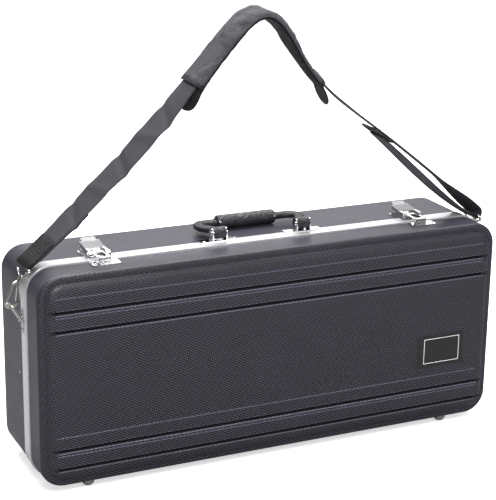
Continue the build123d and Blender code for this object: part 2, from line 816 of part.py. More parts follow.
def ring_bracket(side):
    """Riveted plate with a pressed arch that the ring's lower bar turns in."""
    face = frame_side
    inside = ring_wire + loose_gap
    low, high = ring_z - ring_bracket_length / 2, ring_z + ring_bracket_length / 2
    plate = [(side * face, low), (side * (face + sheet), low), (side * (face + sheet), high), (side * face, high)]
    strip(strap_plane(), plate, ring_bracket_width / 2)
    disc(strap_plane(), (side * bar_x, ring_z), inside + sheet, ring_bracket_width / 2)
    disc(strap_plane(), (side * bar_x, ring_z), inside, ring_bracket_width / 2, mode=Mode.SUBTRACT)
    slot = [(side * (face - 5), ring_z - inside), (side * bar_x, ring_z - inside),
            (side * bar_x, ring_z + inside), (side * (face - 5), ring_z + inside)]
    strip(strap_plane(), slot, ring_bracket_width / 2, mode=Mode.SUBTRACT)
    behind = [(side * (face - 5), low), (side * face, low), (side * face, high), (side * (face - 5), high)]
    strip(strap_plane(), behind, ring_bracket_width / 2, mode=Mode.SUBTRACT)
    drill(ring_rivets(side))


def strap_ring(side):
    """Rounded rectangular wire ring, leaning out from the case."""
    lean = radians(ring_lean)
    up = Vector(side * sin(lean), 0, cos(lean))
    middle = Vector(side * bar_x, strap_y, ring_z) + up * (ring_reach / 2)
    flat = Plane(origin=middle, x_dir=(0, 1, 0), z_dir=Vector(0, 1, 0).cross(up))
    w, h = ring_half_width, ring_reach / 2
    with BuildLine(flat) as path:
        FilletPolyline((w, -h), (w, h), (-w, h), (-w, -h), radius=3.5, close=True)
    with BuildSketch(Plane(origin=path.line @ 0, z_dir=path.line % 0)) as drawn:
        Circle(ring_wire)
    sweep(drawn.sketch, path=path.line)


# ---------------------------------------------------------------- snap hooks
def hook_plane(side):
    """Plane of a snap hook, from the middle of its bend: across it (inwards is minus) and along it."""
    lean = radians(hook_lean)
    along = Vector(-side * sin(lean), 0, cos(lean))
    across = Vector(side * cos(lean), 0, sin(lean))
    seat = hook_bend - hook_wire - ring_wire - loose_gap
    origin = Vector(side * ring_top_x, strap_y, ring_top_z) + along * seat
    return Plane(origin=origin, x_dir=across, z_dir=across.cross(along))


def turned(plane, start, end, radius, mode=Mode.ADD):
    """Round bar along the hook between two places."""
    seat = Plane(origin=plane.origin + plane.y_dir * start, x_dir=plane.x_dir, z_dir=plane.y_dir)
    with BuildSketch(seat) as drawn:
        Circle(radius)
    extrude(drawn.sketch, amount=end - start, mode=mode)


def snap_hook(side):
    """Bent wire hook, its gate lug, and the turned head and post of its swivel."""
    plane = hook_plane(side)
    with BuildLine(plane) as path:
        FilletPolyline((1, head_start + 1), (hook_bend, head_start - 4.5), (hook_bend, 0), radius=4)
        ThreePointArc((hook_bend, 0), (0, -hook_bend), (-hook_bend, 0))
        Line((-hook_bend, 0), (-hook_bend, 2.1))
    with BuildSketch(Plane(origin=path.line @ 0, z_dir=path.line % 0)) as drawn:
        Circle(hook_wire)
    sweep(drawn.sketch, path=path.line)
    lug = [(gate_pivot[0] - 2, gate_pivot[1]), (gate_pivot[0] + 2, gate_pivot[1]), (2, head_start + 1),
           (-3, head_start + 1)]
    strip(plane, lug, 1.4)
    disc(plane, gate_pivot, 2.6, 1.4)
    turned(plane, head_start, head_end, head_radius)
    turned(plane, head_end, head_end + collar_height + 1.2, 1.9)
    turned(plane, head_end + collar_height + 0.9, head_end + collar_height + 2.4, 3.2)
    disc(plane, gate_pivot, 0.9, 5, mode=Mode.SUBTRACT)


def gate(side):
    """Sprung gate: a fork on its pivot at the top, closing on the hook's nose."""
    plane = hook_plane(side)
    px, py = gate_pivot
    tx, ty = gate_tip
    length = hypot(tx - px, ty - py)
    nx, ny = (ty - py) / length, -(tx - px) / length
    sides = [(px + 2.6 * nx, py + 2.6 * ny), (tx + 1.8 * nx, ty + 1.8 * ny),
             (tx - 1.8 * nx, ty - 1.8 * ny), (px - 2.6 * nx, py - 2.6 * ny)]
    strip(plane, sides, gate_half)
    disc(plane, gate_pivot, 2.6, gate_half)
    disc(plane, gate_tip, 1.8, gate_half)
    disc(plane, gate_pivot, 4.6, 1.4 + loose_gap, mode=Mode.SUBTRACT)
    disc(plane, gate_pivot, 0.9 + fit_gap, 5, mode=Mode.SUBTRACT)


def eye(side):
    """Wire eye for the webbing, with the collar that the hook's post turns in."""
    plane = hook_plane(side)
    half_width = webbing_width / 2 + eye_wire + 2.0
    flat = Plane(origin=plane.origin, x_dir=(0, 1, 0), z_dir=Vector(0, 1, 0).cross(plane.y_dir))
    low = head_end + loose_gap + 1.7
    with BuildLine(flat) as path:
        FilletPolyline((-3, low), (-half_width, low + 8), (-half_width, eye_bar), (half_width, eye_bar),
                       (half_width, low + 8), (3, low), radius=4)
    with BuildSketch(Plane(origin=path.line @ 0, z_dir=path.line % 0)) as drawn:
        Circle(eye_wire)
    sweep(drawn.sketch, path=path.line)
    turned(plane, head_end + loose_gap, head_end + collar_height + 0.6, head_radius)
    turned(plane, head_end, head_end + collar_height + 2, 1.9 + fit_gap, mode=Mode.SUBTRACT)


for name, side in SIDES.items():
    with BuildPart() as piece:
        ring_bracket(side)
    save(piece, f"ring_bracket_{name}")
    with BuildPart() as piece:
        strap_ring(side)
    save(piece, f"strap_ring_{name}")
    with BuildPart() as piece:
        snap_hook(side)
    save(piece, f"snap_hook_{name}")
    with BuildPart() as piece:
        gate(side)
    save(piece, f"snap_gate_{name}")
    with BuildPart() as piece:
        disc(hook_plane(side), gate_pivot, 0.9, gate_half + 0.4)
    save(piece, f"gate_pin_{name}")
    with BuildPart() as piece:
        eye(side)
    save(piece, f"strap_eye_{name}")

with BuildPart() as ring_bracket_rivets:
    for side in (LEFT, RIGHT):
        for plane, grip in ring_rivets(side):
            rivet(plane, grip)


# ---------------------------------------------------------------- strap and pad
def eye_point(side):
    """Middle of an eye's bar, in the strap's plane."""
    plane = hook_plane(side)
    point = plane.origin + plane.y_dir * eye_bar
    return point.X, point.Z


def path_point(path, t, offset):
    """Point beside a path: offset to its left-hand side, seen from the lid."""
    here = path @ t
    along = path % t
    return here.X - along.Z * offset, here.Z + along.X * offset


def ribbon(path, start, end, low, high, width, mode=Mode.ADD):
    """Band that follows a path, between two offsets from it, extruded across the strap."""
    length = sum(edge.length for edge in path.edges())
    count = max(8, round(length * (end - start) / 20))
    steps = [start + (end - start) * i / count for i in range(count + 1)]
    over = [path_point(path, t, high) for t in steps]
    under = [path_point(path, t, low) for t in steps]
    with BuildSketch(strap_plane()) as drawn:
        with BuildLine():
            Spline(*over)
            Line(over[-1], under[-1])
            Spline(*under)
            Line(under[0], over[0])
        make_face()
    extrude(drawn.sketch, amount=width / 2, both=True, mode=mode)


left_eye, right_eye = eye_point(LEFT), eye_point(RIGHT)
apex = (apex_x, z_top + apex_height)
half_web = webbing / 2
eye_offset = (loop_turn - half_web - eye_wire - loose_gap) * sqrt(0.5)
loop_centre = (right_eye[0] - eye_offset, right_eye[1] + eye_offset)
left_rise = [(18, 19), (104.9, 95.5), (183.9, 170.5), (281.9, 280.5)]             # in from an eye, and up
right_fall = [(305.9, 271.5), (251.9, 207.5), (173.9, 146.5), (91.9, 83.5)]
tail_rise = [(57.9, 35.5), (110.9, 81.5)]


def loop_end(turn):
    """Where a strand leaves the loose loop, on the side that turn (1 or -1) gives."""
    return loop_centre[0] + turn * loop_turn * 0.62, loop_centre[1] + turn * loop_turn * 0.78


with BuildLine(strap_plane()) as main_path:
    up = [(left_eye[0] + dx, left_eye[1] + dz) for dx, dz in left_rise]
    down = [(right_eye[0] - dx, right_eye[1] + dz) for dx, dz in right_fall]
    Spline(*up, apex, *down, loop_end(1))
main_strand = main_path.line
bar_drop = half_web + 2 * loose_gap + webbing + adjuster_bar / 2
tail_drop = bar_drop + adjuster_bar / 2 + loose_gap + half_web

with BuildLine(strap_plane()) as return_path:
    back = [(right_eye[0] - dx, right_eye[1] + dz) for dx, dz in tail_rise]
    Spline(loop_end(-1), *back, path_point(main_strand, adjuster_at, -tail_drop))
return_strand = return_path.line


def eye_loop():
    """Fold of the left end round its eye, where the two layers meet and are sewn."""
    x, z = left_eye
    reach = eye_wire + loose_gap + webbing
    start = path_point(main_strand, 0, half_web), path_point(main_strand, 0, -half_web - webbing)
    strip(strap_plane(), [(x - 0.7 * reach, z + 0.7 * reach), (x + 0.7 * reach, z - 0.7 * reach), start[1], start[0]],
          webbing_width / 2)
    disc(strap_plane(), left_eye, reach, webbing_width / 2)
    disc(strap_plane(), left_eye, eye_wire + loose_gap, webbing_width / 2, mode=Mode.SUBTRACT)


def loose_loop():
    """Turn of the webbing round the right eye, open between its two strands."""
    outer, inner = loop_turn + half_web, loop_turn - half_web
    ux, uz = 0.62, 0.78
    with BuildSketch(strap_plane()) as drawn:
        with BuildLine():
            ends = []
            for radius in (outer, inner):
                first = (loop_centre[0] + ux * radius, loop_centre[1] + uz * radius)
                middle = (loop_centre[0] + uz * radius, loop_centre[1] - ux * radius)
                last = (loop_centre[0] - ux * radius, loop_centre[1] - uz * radius)
                ThreePointArc(first, middle, last)
                ends.append((first, last))
            Line(ends[0][0], ends[1][0])
            Line(ends[0][1], ends[1][1])
        make_face()
    extrude(drawn.sketch, amount=webbing_width / 2, both=True)


with BuildPart() as strap_webbing:
    ribbon(main_strand, 0, 1, -half_web, half_web, webbing_width)
    ribbon(main_strand, 0, 0.09, -half_web - webbing, -half_web, webbing_width)
    eye_loop()
    loose_loop()
    ribbon(return_strand, 0, 1, -half_web, half_web, webbing_width)

with BuildPart() as strap_adjuster:
    here = path_point(main_strand, adjuster_at, -bar_drop)
    along = main_strand % adjuster_at
    flat = Plane(origin=(here[0], strap_y, here[1]), x_dir=(0, 1, 0), z_dir=(-along.Z, 0, along.X))
    frame_width = webbing_width + 8
    with BuildSketch(flat):
        RectangleRounded(frame_width, 2 * adjuster_half_length, 3)
        for dv in (-1, 1):
            with Locations((0, dv * adjuster_half_length / 2)):
                Rectangle(webbing_width + 1, adjuster_half_length - 4.5, mode=Mode.SUBTRACT)
    extrude(amount=adjuster_bar / 2, both=True)

with BuildPart() as shoulder_pad:
    under = half_web + loose_gap
    ribbon(main_strand, pad_from - pad_tongue, pad_to + pad_tongue, -half_web - pad_thickness, -half_web,
           pad_width)
    corners = shoulder_pad.edges().filter_by(lambda edge: edge.length < 1.1 * pad_thickness)    # end corners
    fillet(corners, radius=pad_end_radius)
    ribbon(main_strand, pad_from, pad_to, -half_web - pad_thickness / 2, half_web + sleeve_rise, sleeve_width)
    ribbon(main_strand, pad_from - 0.05, pad_to + 0.05, -under, under, webbing_width + 2 * loose_gap,
           mode=Mode.SUBTRACT)


save(base_shell, "base_shell")
save(lid_shell, "lid_shell")
save(badge_plate, "badge_plate")
save(base_frame, "base_frame")
save(lid_frame, "lid_frame")
save(base_hinge_leaves, "base_hinge_leaves")
save(lid_hinge_leaves, "lid_hinge_leaves")
save(hinge_pins, "hinge_pins")
save(base_hinge_rivets, "base_hinge_rivets")
save(lid_hinge_rivets, "lid_hinge_rivets")
save(base_feet, "base_feet")
save(lid_feet, "lid_feet")
save(end_rivets, "end_rivets")
save(insert_bed, "insert_bed")
save(base_insert, "base_insert")
save(row_divider, "row_divider")
save(neck_divider, "neck_divider")
save(bell_divider, "bell_divider")
save(accessory_shelf, "accessory_shelf")
save(lid_pad, "lid_pad")
save(latch_base_rivets, "latch_base_rivets")
save(catch_plate_rivets, "catch_plate_rivets")
save(handle_pins, "handle_pins")
save(handle_core, "handle_core")
save(handle_grip, "handle_grip")
save(handle_bracket_rivets, "handle_bracket_rivets")
save(ring_bracket_rivets, "ring_bracket_rivets")
save(strap_webbing, "strap_webbing")
save(strap_adjuster, "strap_adjuster")
save(shoulder_pad, "shoulder_pad")
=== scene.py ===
"""Dressed scene of the instrument case: materials, soft goods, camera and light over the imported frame."""
import math

import bpy
import numpy as np
from mathutils import Matrix, Vector


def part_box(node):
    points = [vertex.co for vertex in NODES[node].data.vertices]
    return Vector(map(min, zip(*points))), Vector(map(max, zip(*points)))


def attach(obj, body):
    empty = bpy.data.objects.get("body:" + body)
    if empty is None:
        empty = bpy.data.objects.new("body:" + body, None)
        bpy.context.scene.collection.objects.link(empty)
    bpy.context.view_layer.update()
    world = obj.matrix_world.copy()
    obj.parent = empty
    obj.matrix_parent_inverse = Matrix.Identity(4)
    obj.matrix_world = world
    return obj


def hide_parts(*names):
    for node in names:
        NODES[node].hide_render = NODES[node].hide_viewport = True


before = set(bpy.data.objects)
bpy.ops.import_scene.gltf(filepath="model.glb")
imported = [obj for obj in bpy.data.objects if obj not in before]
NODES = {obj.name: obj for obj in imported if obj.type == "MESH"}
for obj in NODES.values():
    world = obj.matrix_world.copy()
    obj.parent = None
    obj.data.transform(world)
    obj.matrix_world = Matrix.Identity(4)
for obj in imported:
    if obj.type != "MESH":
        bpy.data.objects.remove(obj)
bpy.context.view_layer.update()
MM = 0.001


# ---------------------------------------------------------------- shader nodes
class Graph:
    """Short ways to add and join shader nodes. A value is a number, a colour or another node's output."""

    def __init__(self, tree, coords="Object"):
        self.tree = tree
        self.coords = self.add("TexCoord").outputs[coords]

    def feed(self, socket, value):
        if hasattr(value, "is_output"):
            self.tree.links.new(value, socket)
        else:
            socket.default_value = value

    def add(self, kind, **inputs):
        node = self.tree.nodes.new("ShaderNode" + kind)
        for key, value in inputs.items():
            self.feed(node.inputs[key.replace("_", " ")], value)
        return node

    def math(self, operation, *values):
        node = self.add("Math")
        node.operation = operation
        for socket, value in zip(node.inputs, values):
            self.feed(socket, value)
        return node.outputs[0]

    def split(self, vector=None):
        return self.add("SeparateXYZ", Vector=vector or self.coords).outputs

    def scaled(self, scale):
        return self.add("Mapping", Vector=self.coords, Scale=scale).outputs[0]

    def noise(self, scale, detail=4.0, vector=None, roughness=0.55):
        node = self.add("TexNoise", Vector=vector or self.coords, Scale=scale, Detail=detail,
                        Roughness=roughness)
        return node.outputs["Fac"]

    def voronoi(self, scale):
        return self.add("TexVoronoi", Vector=self.coords, Scale=scale).outputs["Distance"]

    def remap(self, value, from_low, from_high, to_low, to_high):
        node = self.add("MapRange", Value=value, From_Min=from_low, From_Max=from_high, To_Min=to_low,
                        To_Max=to_high)
        return node.outputs[0]

    def ramp(self, value, low, high):
        node = self.add("ValToRGB", Fac=value)
        node.color_ramp.elements[0].color = (*low, 1)
        node.color_ramp.elements[1].color = (*high, 1)
        return node.outputs[0]

    def bump(self, height, distance, strength=1.0):
        return self.add("Bump", Height=height, Distance=distance, Strength=strength).outputs[0]


class Finish(Graph):
    """A material round one Principled shader."""

    def __init__(self, name):
        self.material = bpy.data.materials.new(name)
        self.material.use_nodes = True
        super().__init__(self.material.node_tree)

    def set(self, **values):
        shader = self.tree.nodes["Principled BSDF"]
        for key, value in values.items():
            self.feed(shader.inputs[key.replace("_", " ")], value)


# ---------------------------------------------------------------- materials
# Where the shells' pressed grooves lie, from the frame's origin.
FORMED_DEPTH = 80 * MM            # a point further out than this is on a formed face
GROOVE_EDGE = 90.3 * MM           # one that lies less far out than this is down in a groove
GROOVES_REACH = 334 * MM
GROOVES_MIDDLE = 162 * MM
GROOVES_RISE = 126 * MM
LIP_FACING = 0.97                 # a lip's surface faces straight out less than this, as a cosine
PANEL_FACING = 0.85               # and a panel's more than this
GRAIN_PITCH = 3.3 * MM

# The pale line on the badge, by its outer edge.
BORDER_MIDDLE = (268.5 * MM, 126.5 * MM)
BORDER_HALF = (30.5 * MM, 19.5 * MM)
BORDER_WIDTH = 0.9 * MM

RIB_PITCH = 1.9 * MM              # the webbing's weave, along it and across it
WARP_PITCH = 1.5 * MM


def mesh_grain(g):
    """Height of the pressed mesh grain, whose rows slant across the panels, 0 to 1."""
    x, y, z = g.split()
    turn = 2 * math.pi / GRAIN_PITCH

    def wave(along_x, along_y, along_z):
        total = g.math("MULTIPLY", x, along_x * turn)
        total = g.math("MULTIPLY_ADD", y, along_y * turn, total)
        return g.math("SINE", g.math("MULTIPLY_ADD", z, along_z * turn, total))

    slanted = wave(0.50, 0.35, 0.86)
    crossing = wave(1.05, 0.40, -0.25)
    fainter = 0.75
    both = g.math("MULTIPLY_ADD", crossing, fainter, slanted)
    return g.remap(both, -1 - fainter, 1 + fainter, 0.0, 1.0)


def shell_material():
    """Black ABS: mesh grain on the panels, smooth bands, painted shade that blackens the pressed grooves,
    painted light that makes the sides, top and bottom paler, and painted highlights beaded along the lips.
    """
    g = Finish("shell_abs")
    x, y, z = g.split()
    depth = g.math("ABSOLUTE", y)
    facing = g.math("ABSOLUTE", g.split(g.add("TexCoord").outputs["Normal"])[1])

    formed = g.math("GREATER_THAN", depth, FORMED_DEPTH)
    across = g.math("LESS_THAN", g.math("ABSOLUTE", x), GROOVES_REACH)
    up = g.math("LESS_THAN", g.math("ABSOLUTE", g.math("SUBTRACT", z, GROOVES_MIDDLE)), GROOVES_RISE)
    window = g.math("MULTIPLY", formed, g.math("MULTIPLY", across, up))
    groove = g.math("MULTIPLY", window, g.math("LESS_THAN", depth, GROOVE_EDGE))
    outside = g.math("SUBTRACT", 1.0, groove)
    lip = g.math("MULTIPLY", window, g.math("LESS_THAN", facing, LIP_FACING))
    lip = g.math("MULTIPLY", lip, outside)
    flat = g.math("MULTIPLY", formed, g.math("GREATER_THAN", facing, PANEL_FACING))
    grained = g.math("MULTIPLY", flat, outside)

    mesh = mesh_grain(g)
    height = g.math("MULTIPLY", mesh, g.math("MULTIPLY_ADD", grained, 0.75, 0.25))
    height = g.math("ADD", height, g.math("MULTIPLY", g.noise(900, 3), 0.10))

    grain = g.math("MULTIPLY", g.math("MULTIPLY_ADD", grained, 1.3, 0.25), g.math("SUBTRACT", mesh, 0.5))
    tone = g.math("ADD", grain, g.remap(g.noise(14, 3), 0, 1, 0.44, 0.58))
    tone = g.math("MULTIPLY_ADD", g.math("SUBTRACT", 1.0, formed), 0.30, tone)      # painted light: the sides, top and bottom are painted paler
    # painted highlight: the groove lips are painted brighter, beaded by the mesh grain
    lip_highlight = g.math("MULTIPLY", lip, g.math("MULTIPLY_ADD", mesh, 0.75, 0.25))
    tone = g.math("MULTIPLY_ADD", lip_highlight, 0.85, g.math("MULTIPLY", tone, 0.30))
    # painted shade: the pressed grooves are blackened
    tone = g.math("MULTIPLY", tone, g.math("MULTIPLY_ADD", groove, -0.97, 1.0))

    rough = g.math("MULTIPLY_ADD", grained, 0.10, g.remap(g.noise(40, 3), 0, 1, 0.30, 0.40))
    rough = g.math("MULTIPLY_ADD", lip, -0.12, rough)
    g.set(Base_Color=g.ramp(tone, (0.0005, 0.0005, 0.0008), (0.152, 0.152, 0.208)),
          Roughness=g.math("MULTIPLY_ADD", groove, 0.45, rough),
          Normal=g.bump(height, 0.9 * MM),
          Specular_IOR_Level=0.42)
    return g.material


def aluminium_material():
    """Satin aluminium, brushed along the frame."""
    g = Finish("frame_aluminium")
    streaks = g.noise(60, 4, g.scaled((0.05, 60, 0.05)))
    g.set(Base_Color=g.ramp(streaks, (0.74, 0.745, 0.76), (0.86, 0.86, 0.865)),
          Roughness=g.remap(streaks, 0, 1, 0.24, 0.36),
          Normal=g.bump(streaks, 0.1 * MM, 0.4),
          Metallic=0.7)
    return g.material


def plated_material(name, low, high, rough):
    """Bright plated steel with slightly cloudy reflections."""
    g = Finish(name)
    cloud = g.noise(220, 4)
    g.set(Base_Color=g.ramp(g.noise(60, 3), low, high),
          Roughness=g.remap(cloud, 0, 1, rough * 0.8, rough * 1.25),
          Normal=g.bump(cloud, 0.06 * MM, 0.35),
          Metallic=1.0)
    return g.material


def plush_material():
    """Short black plush of the fitted insert."""
    g = Finish("plush")
    fibres = g.noise(700, 6, roughness=0.7)
    g.set(Base_Color=g.ramp(g.noise(30, 4), (0.018, 0.018, 0.021), (0.034, 0.034, 0.038)),
          Roughness=g.remap(fibres, 0, 1, 0.85, 0.98),
          Normal=g.bump(fibres, 0.9 * MM, 0.8),
          Sheen_Weight=0.5, Sheen_Roughness=0.45)
    return g.material


def webbing_material():
    """Nylon webbing, whose weave follows the places along and across it that its mesh carries."""
    g = Finish("webbing")
    places = g.add("Attribute")
    places.attribute_name = "strap"
    along, across, _ = g.split(places.outputs["Vector"])
    ribs = g.math("SINE", g.math("MULTIPLY", along, 2 * math.pi / RIB_PITCH))
    warp = g.math("SINE", g.math("MULTIPLY", across, 2 * math.pi / WARP_PITCH))
    weave = g.math("MULTIPLY", ribs, warp)
    grain = g.math("ADD", g.math("MULTIPLY", weave, 0.5), g.noise(500, 3))
    tone = g.remap(grain, -0.2, 1.2, 0, 1)
    g.set(Base_Color=g.ramp(tone, (0.008, 0.008, 0.011), (0.062, 0.060, 0.074)),
          Roughness=g.remap(g.noise(80, 2), 0, 1, 0.55, 0.7),
          Normal=g.bump(grain, 0.4 * MM, 0.8),
          Sheen_Weight=0.08, Sheen_Roughness=0.4, Specular_IOR_Level=0.3)
    return g.material


def pad_material(name, low, high):
    """Pebbled cloth of the shoulder pad."""
    g = Finish(name)
    dots = g.voronoi(520)
    height = g.math("ADD", dots, g.math("MULTIPLY", g.noise(60, 4), 0.6))
    speck = g.math("ADD", g.math("MULTIPLY", dots, 0.9), g.math("MULTIPLY", g.noise(25, 4), 0.4))
    g.set(Base_Color=g.ramp(speck, low, high),
          Roughness=g.remap(dots, 0, 0.6, 0.55, 0.7),
          Normal=g.bump(height, 1.2 * MM, 0.9),
          Sheen_Weight=0.05, Sheen_Roughness=0.5, Specular_IOR_Level=0.3)
    return g.material


def thread_material():
    """Dull black sewing thread."""
    g = Finish("thread")
    twist = g.noise(900, 2)
    g.set(Base_Color=g.ramp(twist, (0.010, 0.010, 0.011), (0.022, 0.022, 0.024)),
          Roughness=g.remap(twist, 0, 1, 0.5, 0.7))
    return g.material


def leather_material():
    """Black grained leather with a worn, patchy shine."""
    g = Finish("grip_leather")
    pores = g.voronoi(420)
    creases = g.noise(90, 6, roughness=0.65)
    wear = g.noise(34, 4, roughness=0.7)
    g.set(Base_Color=g.ramp(g.remap(wear, 0.35, 0.65, 0, 1), (0.003, 0.003, 0.0035), (0.030, 0.031, 0.036)),
          Roughness=g.remap(wear, 0.35, 0.65, 0.50, 0.24),
          Normal=g.bump(g.math("ADD", pores, creases), 0.9 * MM, 0.9))
    return g.material


def badge_material():
    """Bare black plate with a thin pale line round it."""
    g = Finish("badge_black")
    x, _, z = g.split()
    masks = []
    for inset in (0.0, BORDER_WIDTH):
        sides = [g.math("LESS_THAN", g.math("ABSOLUTE", g.math("SUBTRACT", place, middle)), half - inset)
                 for place, middle, half in zip((x, z), BORDER_MIDDLE, BORDER_HALF)]
        masks.append(g.math("MULTIPLY", *sides))
    line = g.math("SUBTRACT", *masks)
    g.set(Base_Color=g.ramp(line, (0.012, 0.012, 0.013), (0.75, 0.75, 0.75)),
          Roughness=g.remap(g.noise(60, 3), 0, 1, 0.3, 0.4))
    return g.material


def buckle_material():
    """Black lacquered metal of the strap's adjuster."""
    g = Finish("black_buckle")
    speck = g.noise(300, 4)
    g.set(Base_Color=g.ramp(speck, (0.012, 0.012, 0.013), (0.024, 0.024, 0.026)),
          Roughness=g.remap(speck, 0, 1, 0.3, 0.45),
          Normal=g.bump(speck, 0.2 * MM, 0.4))
    return g.material


PLATED = plated_material("nickel_plate", (0.60, 0.61, 0.63), (0.80, 0.80, 0.80), 0.11)
WIRE = plated_material("nickel_wire", (0.66, 0.64, 0.61), (0.82, 0.80, 0.76), 0.12)
WEBBING = webbing_material()
PAD = pad_material("pad_cover", (0.014, 0.014, 0.017), (0.062, 0.062, 0.074))
PAD_UNDER = pad_material("pad_lining", (0.001, 0.001, 0.001), (0.011, 0.010, 0.012))
THREAD = thread_material()

NAMED_FINISHES = (
    (shell_material(), ("base_shell", "lid_shell")),
    (aluminium_material(), ("base_frame", "lid_frame")),
    (plush_material(), ("base_insert", "lid_pad", "insert_bed", "row_divider", "neck_divider", "bell_divider",
                        "accessory_shelf")),
    (badge_material(), ("badge_plate",)),
    (leather_material(), ("handle_core", "handle_grip")),
    (buckle_material(), ("strap_adjuster",)),
    (WEBBING, ("strap_webbing",)),
    (PAD, ("shoulder_pad",)),
)
WIRE_FITTINGS = ("strap_ring", "snap_", "strap_eye", "gate_")       # how the names of the strap's hooks begin


def paint_nodes():
    """Give every CAD node its material. What has no finish by name is a bright fitting."""
    named = {name: material for material, names in NAMED_FINISHES for name in names}
    for name, node in NODES.items():
        fitting = WIRE if name.startswith(WIRE_FITTINGS) else PLATED
        node.data.materials.clear()
        node.data.materials.append(named.get(name, fitting))


# ---------------------------------------------------------------- the strap's route
# The strap's sizes repeat the part's source and are in millimetres. A point is an x and a z in its plane.
STRAP_Y = -22.0
HALF_WIDTH = 19.0                                # of the webbing
HALF_WEB = 0.9                                   # half its thickness
EYE_WIRE = 1.7                                   # radius of an eye's bar
GAP = 0.3
LEFT_EYE = np.array((-353.85, 313.54))           # middles of the eyes' bars
RIGHT_EYE = np.array((353.85, 313.54))
LEFT_RISE = ((18, 19), (104.9, 95.5), (183.9, 170.5), (281.9, 280.5))           # from the left eye, up
APEX = (-10.0, 640.0)
RIGHT_FALL = ((305.9, 271.5), (251.9, 207.5), (173.9, 146.5), (91.9, 83.5))     # back from the right eye
TAIL_RISE = ((57.9, 35.5), (110.9, 81.5))
LOOP_TURN = 6.0                                  # radius of the loose loop at the right eye
LOOP_WAY = np.array((0.62, 0.78))
EYE_TURN = EYE_WIRE + GAP + HALF_WEB
EYE_OFFSET = (LOOP_TURN - EYE_TURN) * math.sqrt(0.5)
LOOP_CENTRE = RIGHT_EYE + (-EYE_OFFSET, EYE_OFFSET)
ADJUSTER_AT = 0.77                               # share of the main strand
ADJUSTER_BAR = 3.0
TAIL_DROP = 3 * HALF_WEB + 3 * GAP + ADJUSTER_BAR + HALF_WEB

SEWN_TO = 0.088                                  # share to which the folded end lies under the main strand
SEWN_GAP = 0.1
TAIL_TWIST = 5.0                                 # degrees, midway
PATCH_TO = 0.024                                 # share to which the sewn patch covers the main strand
SPAN_STEPS = 40                                  # points of a strand between two of its given ones
UNDER_STEPS, EYE_STEPS, MAIN_STEPS, LOOP_STEPS, TAIL_STEPS = 30, 13, 300, 17, 60    # places in each stretch

# The webbing's turns about its own length: degrees that are added between two shares of the main strand.
FIRST_TWIST = 11.0
TWISTS = ((10, 0.0, 0.10), (-17, 0.24, 0.37), (9, 0.50, 0.60), (-8, 0.62, 0.69), (-22, 0.90, 0.99))

# Soft folds across the left run: x, lean, depth and spread.
FOLDS = ((-283, 0.55, 2.2, 6.5), (-247, -0.35, -1.5, 9.0), (-214, 0.45, 2.6, 7.0),
         (-176, -0.4, -1.6, 10.0), (-150, 0.5, 2.4, 7.5))


def unit(way):
    return way / np.linalg.norm(way)


def left_of(way):
    """The way turned a quarter to its left, which is outwards from the case along the main strand."""
    return np.array((-way[1], way[0]))


def end_slope(times, points, at):
    """Slope at one of four points of the cubic that runs through them."""
    slope = np.zeros(2)
    for i in range(4):
        others = [j for j in range(4) if j != i]
        for k in others:
            rest = [(at - times[j]) / (times[i] - times[j]) for j in others if j != k]
            slope = slope + points[i] * np.prod(rest) / (times[i] - times[k])
    return slope


def spline(points):
    """Dense points of the smooth cubic through four or more points, as the part's source draws it."""
    points = np.array(points, float)
    spans = np.linalg.norm(np.diff(points, axis=0), axis=1)
    times = np.concatenate(([0.0], np.cumsum(spans)))
    count = len(points)
    matrix, right = np.zeros((count, count)), np.zeros((count, 2))
    matrix[0, 0] = matrix[-1, -1] = 1
    right[0] = end_slope(times[:4], points[:4], times[0])
    right[-1] = end_slope(times[-4:], points[-4:], times[-1])
    for i in range(1, count - 1):
        before, after = spans[i - 1], spans[i]
        matrix[i, i - 1:i + 2] = 1 / before, 2 / before + 2 / after, 1 / after
        climb_before, climb_after = points[i] - points[i - 1], points[i + 1] - points[i]
        right[i] = 3 * climb_before / before ** 2 + 3 * climb_after / after ** 2
    slopes = np.linalg.solve(matrix, right)
    dense = []
    for i in range(count - 1):
        for u in np.arange(SPAN_STEPS) / SPAN_STEPS:
            between = points[i] * (1 + 2 * u) * (1 - u) ** 2 + points[i + 1] * u * u * (3 - 2 * u)
            bend = slopes[i] * u * (1 - u) ** 2 - slopes[i + 1] * u * u * (1 - u)
            dense.append(between + spans[i] * bend)
    return np.array(dense + [points[-1]])


class Strand:
    """Route in the strap's plane that is read by its share of length."""

    def __init__(self, points):
        self.points = spline(points)
        steps = np.linalg.norm(np.diff(self.points, axis=0), axis=1)
        self.reach = np.concatenate(([0.0], np.cumsum(steps)))
        self.length = self.reach[-1]

    def at(self, share):
        distance = share * self.length
        return np.array([np.interp(distance, self.reach, self.points[:, axis]) for axis in (0, 1)])

    def along(self, share):
        step = 2.0 / self.length
        return unit(self.at(min(1, share + step)) - self.at(max(0, share - step)))

    def beside(self, share, offset):
        return self.at(share) + offset * left_of(self.along(share))

    def distance_at_x(self, x):
        return float(np.interp(x, self.points[:, 0], self.reach))


def from_right_eye(back, rise):
    return RIGHT_EYE + (-back, rise)


MAIN = Strand([LEFT_EYE + step for step in LEFT_RISE] + [APEX]
              + [from_right_eye(*step) for step in RIGHT_FALL] + [LOOP_CENTRE + LOOP_WAY * LOOP_TURN])
TAIL = Strand([LOOP_CENTRE - LOOP_WAY * LOOP_TURN] + [from_right_eye(*step) for step in TAIL_RISE]
              + [MAIN.beside(ADJUSTER_AT, -TAIL_DROP)])
EYE_WAY = unit(MAIN.at(0) - LEFT_EYE)            # from the left eye to where the main strand starts


# ---------------------------------------------------------------- webbing
def smooth_step(value, start, end):
    u = min(1.0, max(0.0, (value - start) / (end - start)))
    return u * u * (3 - 2 * u)


def main_twist(share):
    """Turn of the webbing about its own length, in radians; its far edge rises where this is positive."""
    turns = [turn * smooth_step(share, start, end) for turn, start, end in TWISTS]
    return math.radians(FIRST_TWIST + sum(turns))


